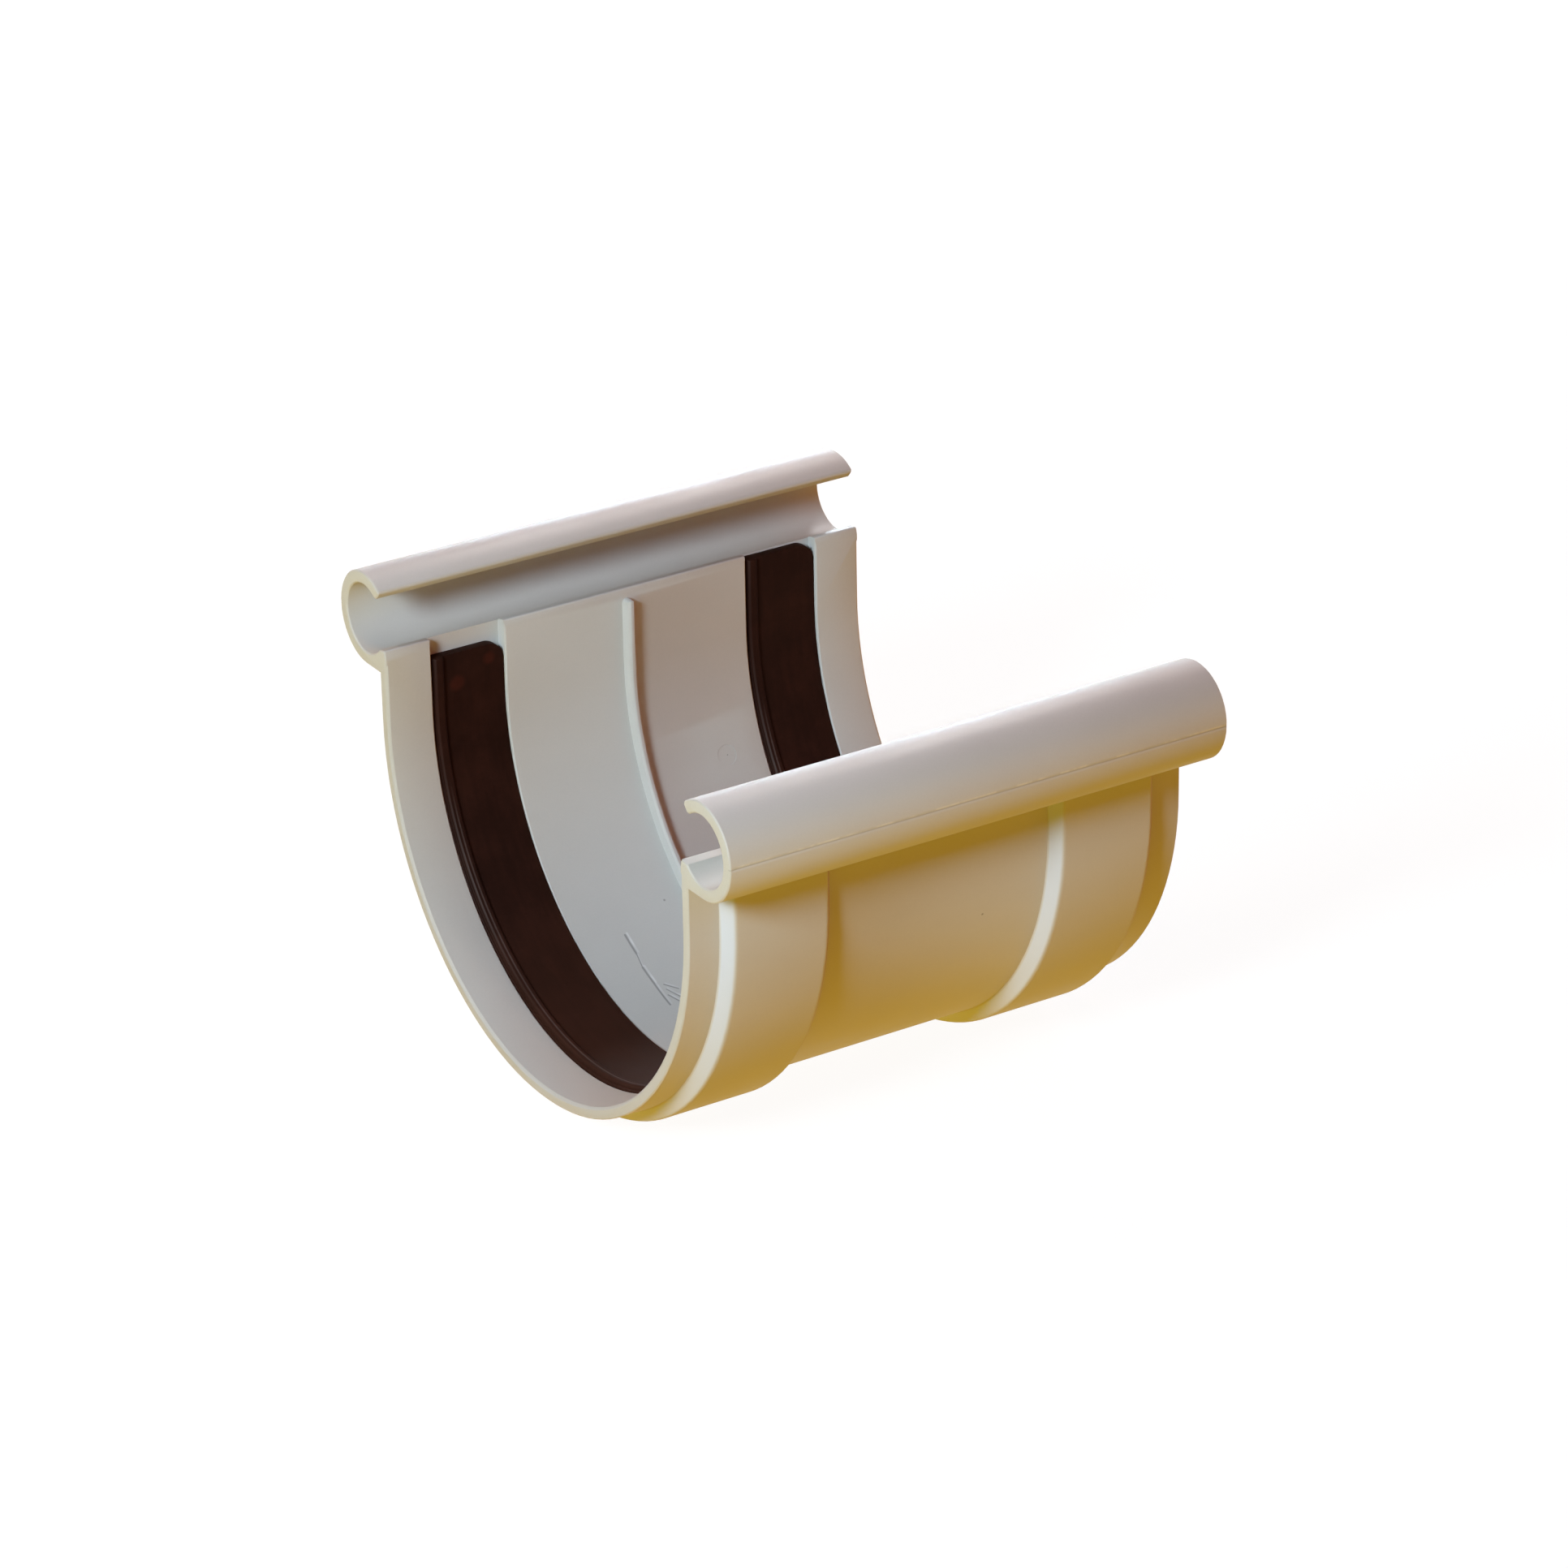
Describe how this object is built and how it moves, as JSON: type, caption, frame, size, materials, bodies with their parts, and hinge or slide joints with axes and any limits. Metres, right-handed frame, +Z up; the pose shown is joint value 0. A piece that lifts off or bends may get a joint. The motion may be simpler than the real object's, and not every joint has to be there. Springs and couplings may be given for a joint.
{
  "type": "gutter union",
  "caption": "Half-round gutter union: an open trough with a bead channel along each rim, a stop rib round its middle and a rubber seal in each raised housing.",
  "frame": {"origin": "midway along the union, on its centre plane, at the lowest line of the seal housings", "axes": "+X along the gutter, +Y across it towards the back bead channel, +Z up"},
  "size_m": [0.128, 0.17, 0.1052],
  "materials": {
    "grey_pvc": "smooth moulded PVC with a soft sheen",
    "seal_rubber": "matt dark brown rubber"
  },
  "bodies": {
    "root": {"union_body": "grey_pvc", "left_seal": "seal_rubber", "right_seal": "seal_rubber"}
  },
  "joints": []
}
